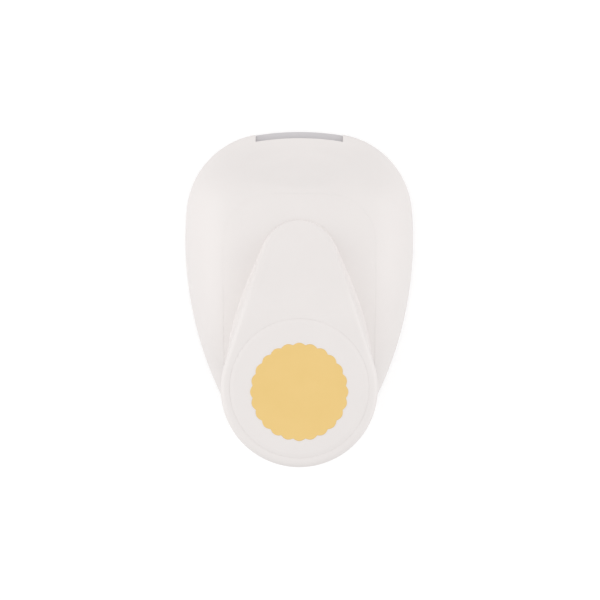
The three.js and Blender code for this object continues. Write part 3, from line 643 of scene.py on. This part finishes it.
def tray_layers():
    """Loops of the tray, from under the foot round, up the wall, over the rim and down to the floor."""
    side = egg_side()
    rims = [tray_rim_z(y) for _, y in side]
    rims += rims[::-1]

    def layer(inset, heights):
        return [(x, y, z) for (x, y), z in zip(mirrored(egg_side(inset)), heights)]

    layers = []
    for i in range(fillet_steps + 1):
        turn = math.pi / 2 * i / fillet_steps
        inset = tray_foot_r * (1 - math.sin(turn))
        z = foot_stand + tray_foot_r * (1 - math.cos(turn))
        layers.append(layer(inset, [z] * len(rims)))
    for i in range(fillet_steps + 1):
        turn = math.pi / 2 * i / fillet_steps
        inset = tray_edge_r * (1 - math.cos(turn))
        drop = tray_edge_r * (1 - math.sin(turn))
        layers.append(layer(inset, [rim - drop for rim in rims]))
    layers.append(layer(tray_wall, rims))
    layers.append(layer(tray_wall, [tray_floor_z] * len(rims)))
    return layers


def node_centre(name):
    low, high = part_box(name)
    return (low.x + high.x) / 2, (low.y + high.y) / 2


def add_tray(plastic):
    tray = skinned("base_tray_shell", tray_layers())
    inner_z = tray_floor_z - touch_gap
    chute = rod("chute", 0, die_y, inner_z, die_bottom_z, chute_r + chute_wall)
    bulkhead_y = plate_rear_y + bulkhead_gap
    wall_line = egg_part(tray_wall - touch_gap, bulkhead_y, bulkhead_y + bulkhead_thick)
    bulkhead = prism("bulkhead", wall_line, inner_z, bulkhead_top_z)
    bosses = []
    holes = []
    for name in base_screws + die_screws:
        x, y = node_centre(name)
        low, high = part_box(name)
        head_r = (high.x - low.x) / 2
        top = die_bottom_z if name in die_screws else tray_top_z
        recess_r = head_r + screw_recess_gap
        boss = rod("boss", x, y, inner_z, top, head_r + boss_wall, small_sides)
        room = prism("outline", mirrored(egg_side(touch_gap)), foot_stand, tray_top_z + overrun)
        bosses.append(common(boss, room))
        holes.append(rod("recess", x, y, 0, low.z + screw_head_thick, recess_r, small_sides))
    joined(tray, chute, bulkhead, *bosses)
    for name in feet:
        x, y = node_centre(name)
        radius = (foot_high.x - foot_low.x) / 2 + foot_recess_gap
        holes.append(rod("foot_recess", x, y, 0, foot_high.z, radius))
    tab_half = notch_width / 2 + tab_side_gap
    tab_notch = block("tab_notch", -tab_half, tab_half, mouth_y - overrun, mouth_y + plate_inset + overrun,
                      die_bottom_z, tray_top_z)
    cut(tray, rod("chute_hole", 0, die_y, 0, die_bottom_z + overrun, chute_r), tab_notch, *holes)
    finished(tray, plastic, "shell_white", "chassis", "base_tray")


# Die set

def edged_plate(name, outline_at, z0, z1, edge):
    """A flat plate with lightly rounded edges. outline_at gives its outline at an inset."""
    rings = []
    for inset, z in ((edge, z0), (0.0, z0 + edge), (0.0, z1 - edge), (edge, z1)):
        rings.append([(x, y, z) for x, y in outline_at(inset)])
    return skinned(name, rings)


def add_plates(plate_steel):
    half = notch_width / 2
    tab_rear_y = mouth_y + plate_inset + overrun

    def front_plate(inset):
        return egg_part(plate_inset + inset, mouth_y + plate_inset + inset + touch_gap, plate_rear_y - inset)

    die = edged_plate("die_plate_sheet", front_plate, die_bottom_z, die_top_z, plate_edge_r)
    tab = common(
        prism("tab", egg_part(touch_gap, mouth_y + touch_gap, tab_rear_y), die_bottom_z, die_top_z),
        block("tab_width", -half, half, mouth_y - overrun, tab_rear_y, 0, pad_top_z),
    )
    opening = scallop_loop(die_y, cut_peak_r, cut_valley_r)
    cut(joined(die, tab), prism("die_hole", opening, 0, pad_top_z))
    finished(die, plate_steel, "plate_steel", "chassis", "die_plate")
    guide = edged_plate("guide_plate_sheet", front_plate, guide_bottom_z, guide_top_z, plate_edge_r)
    cut(guide, prism("guide_hole", opening, 0, pad_top_z))
    finished(guide, plate_steel, "plate_steel", "chassis", "guide_plate")
    stop = prism("paper_stop_bar", egg_part(plate_inset, throat_y, plate_rear_y), stop_low.z, stop_high.z)
    finished(stop, plate_steel, "plate_steel", "chassis", "paper_stop")


def add_cutter(cutter_steel):
    loop = scallop_loop(die_y, cut_peak_r - cut_clearance, cut_valley_r - cut_clearance)
    cutter = prism("cutter_block", loop, cutter_low.z, cutter_high.z)
    finished(cutter, cutter_steel, "cutter_steel", "punch", "cutter")


# Lever

def flank_half(y, inset):
    r = opening_corner_r - inset
    reach = min(y - opening_corner_y, 0)
    return opening_corner_x + math.sqrt(max(r ** 2 - reach ** 2, 0))


def flank_edge(x, y, inset):
    """Distance from a point on the flanks to their nearest edge."""
    if y < opening_corner_y and abs(x) > opening_corner_x:
        to_corner = math.hypot(abs(x) - opening_corner_x, y - opening_corner_y)
        edge = opening_corner_r - inset - to_corner
    else:
        edge = min(opening_half - inset - abs(x), y - opening_front_y - inset)
    return min(edge, flank_rear_y - y)


def flank_top(x, y):
    return dome_top(x, y) - lever_drop * eased(lever_drop_front_y, flank_rear_y, y)


def flank_bottom(y):
    front = mix(flank_bottom_front_z, flank_bottom_z, eased(flank_front_y, die_y, y))
    return mix(front, flank_bottom_rear_z, eased(flank_fall_front_y, flank_fall_rear_y, y))


def flank_block(name, inset, sink, drop, rim):
    y0 = flank_front_y + inset
    y1 = flank_rear_y - inset
    rings = []
    for i in range(flank_rows + 1):
        y = mix(y0, y1, 1 - math.cos(math.pi / 2 * i / flank_rows))
        half = flank_half(max(y, y0 + touch_gap), lever_side_gap + inset)
        floor = flank_bottom(y) - drop
        ring = [(-half, y, floor)]
        for j in range(-flank_columns, flank_columns + 1):
            x = half * math.sin(math.pi / 2 * j / flank_columns)
            edge = flank_edge(x, y, lever_side_gap + inset)
            ring.append((x, y, flank_top(x, y) - sink - fillet_fall(edge, rim)))
        ring.append((half, y, floor))
        rings.append(ring)
    return skinned(name, rings)


def tongue_stations(inset):
    """Right edge of the tongue, seen from above: the tip's circle, a tangent and the pad's circle."""
    tip_mid_y = tongue_tip_y + tongue_tip_r
    tip_end = math.pi / 2 - math.asin((pad_r - tongue_tip_r) / (pad_y - tip_mid_y))
    tip_r, end_r = tongue_tip_r - inset, pad_r - inset
    stations = []
    for i in range(tongue_steps + 1):
        turn = max(tip_end * i / tongue_steps, math.pi * tip_angle_share)
        stations.append((tip_r * math.sin(turn), tip_mid_y - tip_r * math.cos(turn)))
    start = stations[-1]
    end = (end_r * math.sin(tip_end), pad_y - end_r * math.cos(tip_end))
    for i in range(1, tongue_steps + 1):
        stations.append((mix(start[0], end[0], i / tongue_steps), mix(start[1], end[1], i / tongue_steps)))
    for y in (flank_rear_y, neck_rear_y, pad_y):
        stations.append((math.sqrt(end_r ** 2 - (pad_y - y) ** 2), y))
    return stations


def tongue_foot(half, y, inset):
    """Where the tongue's sloping side ends: near its edge at the tip, and nearer the opening further back."""
    ledge = flank_half(y, lever_side_gap + inset) - tongue_ledge
    near_tip = min(half + tongue_tip_spread, ledge)
    return max(half, mix(near_tip, ledge, eased(tongue_tip_y, tongue_tip_y + tongue_spread_length, y)))


def bend(start, corner, end, steps):
    """A curve from start to end that leaves and arrives along the lines through the corner."""
    points = []
    for step in range(steps + 1):
        u = step / steps
        shares = ((1 - u) ** 2, 2 * u * (1 - u), u ** 2)
        points.append(tuple(sum(s * p[k] for s, p in zip(shares, (start, corner, end))) for k in (0, 1)))
    return points


def rounded_edge(x, top, edge, low_x, low_z):
    """A level top that rounds over its edge at x and runs on towards a point below."""
    run = math.hypot(low_x - x, low_z - top)
    end = (x + edge * (low_x - x) / run, top + edge * (low_z - top) / run)
    return bend((x - edge, top), (x, top), end, tongue_edge_steps)


def tongue_side(half, y, top, foot, foot_z):
    """Section of the tongue's side: over its edge, down its slope and out along the flank."""
    sweep = tongue_sweep_share * (foot - half)
    fall = (flank_top(foot - slope_probe, y) - flank_top(foot, y)) / slope_probe
    low_z = min(foot_z + fall * sweep, mix(top, foot_z, 1 - tongue_sweep_share))
    low = (foot - sweep, low_z)
    edge_r = mix(tongue_edge_r, pad_edge_r, eased(tongue_tip_y, flank_rear_y, y))
    edge = min(edge_r, half, math.hypot(low[0] - half, low[1] - top))
    over = rounded_edge(half, top, edge, *low)
    return over + bend(over[-1], low, (foot, foot_z), tongue_sweep_steps)[1:]


def tongue_top(y):
    start = dome_top(0, tongue_tip_y) + tongue_step
    level_y = pad_y - disc_r + disc_edge_fall
    return mix(start, rim_top_z, through(tongue_shares, (y - tongue_tip_y) / (level_y - tongue_tip_y)))


def tongue_bottom(y):
    low = max(flank_top(0, y) - tongue_skirt, flank_bottom(y))
    return mix(low, pad_bottom_z, eased(flank_rear_y, neck_rear_y, y))


def tongue_block(name, inset, sink, drop):
    rings = []
    for half, y in tongue_stations(inset):
        top = tongue_top(y) - sink
        bottom = tongue_bottom(y) - drop
        foot = tongue_foot(half, y, inset)
        seat_z = flank_top(foot, y) - tongue_foot_sink - inset
        foot_z = min(max(seat_z, bottom + touch_gap), top - touch_gap)
        side = tongue_side(half, y, top, foot, foot_z) + [(foot, bottom)]
        rings.append([(-x, y, z) for x, z in reversed(side)] + [(x, y, z) for x, z in side])
    return skinned(name, rings)


def neck_wall(name):
    """The lever's rear wall, from the flanks' lower edge up to the pad's hollow."""
    rise = [(flank_rear_y + touch_gap, flank_bottom(flank_rear_y) - overrun)]
    rise += [(y + touch_gap, tongue_bottom(y)) for y in (flank_rear_y, neck_rear_y)]
    back = [(y - lever_wall, z) for y, z in reversed(rise)]
    frame_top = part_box("lever_frame")[1].z
    wall = side_prism(name, rise + back, -pad_r, pad_r)
    clear_z = tongue_top(flank_rear_y) - pad_roof - pad_thick
    return common(wall, block("neck_room", -pad_r, pad_r, 0, pad_y, 0, min(clear_z, frame_top)))


def rounded_foot(radius, z, edge):
    """The lower edge of a turned piece, rounded from its underside up to its side."""
    points = []
    for step in range(fillet_steps + 1):
        turn = math.pi / 2 * step / fillet_steps
        points.append((radius - edge * (1 - math.sin(turn)), z + edge * (1 - math.cos(turn))))
    return points


def pad_profile():
    over = rounded_edge(pad_r, rim_top_z, pad_edge_r, pad_r, pad_bottom_z)
    return rounded_foot(pad_r, pad_bottom_z, pad_foot_r) + over[::-1]


def add_lever_shell(plastic):
    shell = flank_block("lever_shell_body", 0.0, 0.0, 0.0, flank_rim_r)
    tongue = tongue_block("tongue", 0.0, 0.0, 0.0)
    puck = turned("puck", 0, pad_y, pad_profile())
    joined(shell, tongue, puck)
    hollow = flank_block("flank_hollow", lever_wall, lever_wall, overrun, 0.0)
    roof_sink = rim_top_z - pad_top_z + pad_roof
    tongue_hollow = tongue_block("tongue_hollow", lever_wall, roof_sink, pad_top_z - pad_bottom_z)
    puck_roof_z = pad_top_z - pad_roof
    puck_hollow = rod("puck_hollow", 0, pad_y, pad_bottom_z - overrun, puck_roof_z, pad_r - lever_wall)
    joined(hollow, tongue_hollow, puck_hollow)
    cut(hollow, neck_wall("neck"))
    seat = rod("disc_seat", 0, disc_y, pad_top_z - disc_thick, pad_top_z + overrun, disc_r + disc_gap)
    cut(shell, hollow, seat)
    finished(shell, plastic, "shell_white", "lever", "lever_shell")


def add_pad(plastic, gold):
    floor_z = pad_top_z - disc_thick
    edge = (disc_r, pad_top_z - disc_edge_fall)
    corner = (disc_r - disc_edge_share * disc_edge_run, pad_top_z)
    level = (disc_r - disc_edge_run, pad_top_z)
    profile = [(disc_r, floor_z)] + bend(edge, corner, level, fillet_steps)
    disc = turned("thumb_disc", 0, disc_y, profile)
    seat_loop = scallop_loop(badge_y, badge_peak_r + badge_gap, badge_valley_r + badge_gap)
    cut(disc, prism("badge_seat", seat_loop, pad_top_z - badge_thick, pad_top_z + overrun))
    finished(disc, plastic, "shell_white", "lever", "pad_disc")

    def badge_outline(inset):
        return scallop_loop(badge_y, badge_peak_r - inset, badge_valley_r - inset)

    badge = edged_plate("gold_badge", badge_outline, badge_low.z, badge_high.z, badge_edge_r)
    finished(badge, gold, "badge_gold", "lever", "shape_badge")


# Feet, screws and springs

def add_feet(rubber):
    radius = (foot_high.x - foot_low.x) / 2
    profile = rounded_foot(radius, foot_low.z, foot_edge_r) + [(radius, foot_high.z)]
    for name in feet:
        x, y = node_centre(name)
        foot = turned(name + "_pad", x, y, profile, small_sides)
        finished(foot, rubber, "foot_rubber", "chassis", name)


def add_screws(screw_steel):
    half = screw_slot_width / 2
    for name in base_screws + die_screws:
        low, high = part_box(name)
        x, y = node_centre(name)
        head_r = (high.x - low.x) / 2
        neck_z = low.z + screw_head_thick
        profile = [(head_r - screw_edge_r, low.z), (head_r, low.z + screw_edge_r), (head_r, neck_z),
                   (screw_shank_r, neck_z), (screw_shank_r, high.z)]
        screw = turned(name + "_steel", x, y, profile, small_sides)
        slot = block("slot", x - half, x + half, y - head_r, y + head_r, low.z - overrun,
                     low.z + screw_slot_depth)
        finished(cut(screw, slot), screw_steel, "screw_steel", "chassis", name)


def wire_ring(x, y, z, turn, coil_r):
    """One ring of a spring's wire, at a turn round the coil."""
    ring = []
    for i in range(spring_wire_sides):
        round_turn = 2 * math.pi * i / spring_wire_sides
        r = coil_r + spring_wire_r * math.cos(round_turn)
        ring_z = z + spring_wire_r * math.sin(round_turn)
        ring.append((x + r * math.cos(turn), y + r * math.sin(turn), ring_z))
    return ring


def add_springs(screw_steel):
    steps = spring_turns * spring_turn_steps
    for side in ("left", "right"):
        name = "return_spring_" + side
        low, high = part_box(name)
        x, y = node_centre(name)
        coil_r = (high.x - low.x) / 2 - spring_wire_r
        bottom, top = low.z + spring_wire_r, high.z - spring_wire_r
        rings = []
        for i in range(steps + 1):
            turn = 2 * math.pi * i / spring_turn_steps
            rings.append(wire_ring(x, y, mix(bottom, top, i / steps), turn, coil_r))
        spring = finished(skinned(name + "_coil", rings), screw_steel, "screw_steel", "chassis", name)
        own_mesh(spring)


# Materials

def linear(*srgb):
    """An sRGB colour in 0..255 as the linear colour that the shader takes."""
    parts = [c / 255 for c in srgb]
    return tuple(p / 12.92 if p <= 0.04045 else ((p + 0.055) / 1.055) ** 2.4 for p in parts) + (1,)


def new_material(name):
    material = bpy.data.materials.new(name)
    material.use_nodes = True
    nodes = material.node_tree.nodes
    return material, nodes, material.node_tree.links, nodes["Principled BSDF"]


def noise(nodes, links, scale, detail, stretch):
    """Noise on the object's own coordinates."""
    place = nodes.new("ShaderNodeTexCoord")
    mapping = nodes.new("ShaderNodeMapping")
    mapping.inputs["Scale"].default_value = stretch
    texture = nodes.new("ShaderNodeTexNoise")
    texture.inputs["Scale"].default_value = scale
    texture.inputs["Detail"].default_value = detail
    links.new(place.outputs["Object"], mapping.inputs["Vector"])
    links.new(mapping.outputs["Vector"], texture.inputs["Vector"])
    return texture.outputs["Fac"]


def ranged(nodes, links, source, low, high):
    spread = nodes.new("ShaderNodeMapRange")
    spread.inputs["To Min"].default_value = low
    spread.inputs["To Max"].default_value = high
    links.new(source, spread.inputs["Value"])
    return spread.outputs["Result"]


def tinted(nodes, links, source, first, second):
    blend = nodes.new("ShaderNodeMix")
    blend.data_type = "RGBA"
    blend.inputs["A"].default_value = first
    blend.inputs["B"].default_value = second
    links.new(source, blend.inputs["Factor"])
    return blend.outputs["Result"]


def bumped(nodes, links, source, shader, depth, strength):
    bump = nodes.new("ShaderNodeBump")
    bump.inputs["Distance"].default_value = depth
    bump.inputs["Strength"].default_value = strength
    links.new(source, bump.inputs["Height"])
    links.new(bump.outputs["Normal"], shader.inputs["Normal"])


def surface(name, shades, rough, bump, patterns, metallic=0):
    """A look whose colour, roughness and bump each follow a pattern of noise, in that order."""
    material, nodes, links, shader = new_material(name)
    made = {pattern: noise(nodes, links, *pattern) for pattern in dict.fromkeys(patterns)}
    colour_by, rough_by, bump_by = (made[pattern] for pattern in patterns)
    dark, light = shades
    shade = tinted(nodes, links, colour_by, linear(*dark), linear(*light))
    links.new(shade, shader.inputs["Base Color"])
    links.new(ranged(nodes, links, rough_by, *rough), shader.inputs["Roughness"])
    shader.inputs["Metallic"].default_value = metallic
    bumped(nodes, links, bump_by, shader, *bump)
    return material


def white_plastic():
    """Warm white moulded plastic with a satin skin and a very fine grain."""
    patterns = (white_cloud, white_cloud, white_grain)
    return surface("white_plastic", white_shades, white_rough, white_bump, patterns)


def gold_foil():
    """Pale gold satin foil."""
    patterns = (foil_cloud, foil_grain, foil_grain)
    return surface("gold_foil", foil_shades, foil_rough, foil_bump, patterns, foil_metallic)


def steel(name, dark, light, rough, stretch):
    """Brushed or ground steel. The stretch sets the way that the fine lines run."""
    lines = (steel_line_scale, steel_line_detail, stretch)
    spread = (rough - steel_rough_spread, rough + steel_rough_spread)
    return surface(name, (dark, light), spread, steel_bump, (lines, lines, lines), 1)


def grey_rubber():
    patterns = (rubber_grain, rubber_grain, rubber_grain)
    return surface("grey_rubber", rubber_shades, rubber_rough, rubber_bump, patterns)


# Stage

def add_camera():
    camera = bpy.data.objects.new("camera", bpy.data.cameras.new("camera"))
    bpy.context.scene.collection.objects.link(camera)
    camera.location = camera_place
    camera.rotation_euler = (0, 0, math.pi)
    camera.data.lens = camera_lens
    camera.data.sensor_width = camera_sensor
    bpy.context.scene.camera = camera


def add_softbox(name, place, power):
    lamp = bpy.data.lights.new(name, "AREA")
    lamp.shape = "RECTANGLE"
    lamp.size = softbox_length
    lamp.size_y = softbox_height
    lamp.energy = power
    obj = bpy.data.objects.new(name, lamp)
    bpy.context.scene.collection.objects.link(obj)
    obj.location = place
    away = obj.location.normalized()
    obj.rotation_euler = away.to_track_quat("Z", "Y").to_euler()


def seen_rays(nodes, links):
    """1 for the rays that show the background: camera, glossy and transmission."""
    rays = nodes.new("ShaderNodeLightPath")
    total = rays.outputs["Is Camera Ray"]
    for kind in ("Is Glossy Ray", "Is Transmission Ray"):
        most = nodes.new("ShaderNodeMath")
        most.operation = "MAXIMUM"
        links.new(total, most.inputs[0])
        links.new(rays.outputs[kind], most.inputs[1])
        total = most.outputs["Value"]
    return total


def add_floor():
    reach = floor_reach
    corners = ((-reach, -reach, 0), (reach, -reach, 0), (reach, reach, 0), (-reach, reach, 0))
    floor = new_object("floor", corners, (tuple(range(len(corners))),))
    material, nodes, links, shader = new_material("floor_white")
    shader.inputs["Base Color"].default_value = floor_grey
    shader.inputs["Roughness"].default_value = floor_rough
    shader.inputs["Specular IOR Level"].default_value = 0
    shader.inputs["Emission Color"].default_value = pure_white
    glow = ranged(nodes, links, seen_rays(nodes, links), 0, floor_glow)
    links.new(glow, shader.inputs["Emission Strength"])
    floor.data.materials.append(material)


def add_world():
    world = bpy.data.worlds.new("world")
    bpy.context.scene.world = world
    world.use_nodes = True
    nodes, links = world.node_tree.nodes, world.node_tree.links
    background = nodes["Background"]
    background.inputs["Color"].default_value = pure_white
    glow = ranged(nodes, links, seen_rays(nodes, links), world_glow, 1)
    links.new(glow, background.inputs["Strength"])


def dress_plain_nodes(by_slot):
    """Gives each CAD node that still shows the material of its slot."""
    for part in frame["record"]["subparts"]:
        node = frame["nodes"][part["node"]]
        if not node.hide_render:
            node.data.materials.clear()
            node.data.materials.append(by_slot[part["material_slot"]])


def main():
    bpy.context.scene.view_settings.view_transform = "Standard"
    add_camera()
    add_world()
    add_floor()
    for name, place, power in softboxes:
        add_softbox(name, place, power)

    plastic = white_plastic()
    steels = {look[0]: steel(*look) for look in steel_looks}
    add_housing(plastic)
    add_tray(plastic)
    add_lever_shell(plastic)
    add_pad(plastic, gold_foil())
    add_plates(steels["plate_steel"])
    add_cutter(steels["cutter_steel"])
    add_feet(grey_rubber())
    add_screws(steels["screw_steel"])
    add_springs(steels["screw_steel"])
    dress_plain_nodes(steels)


main()
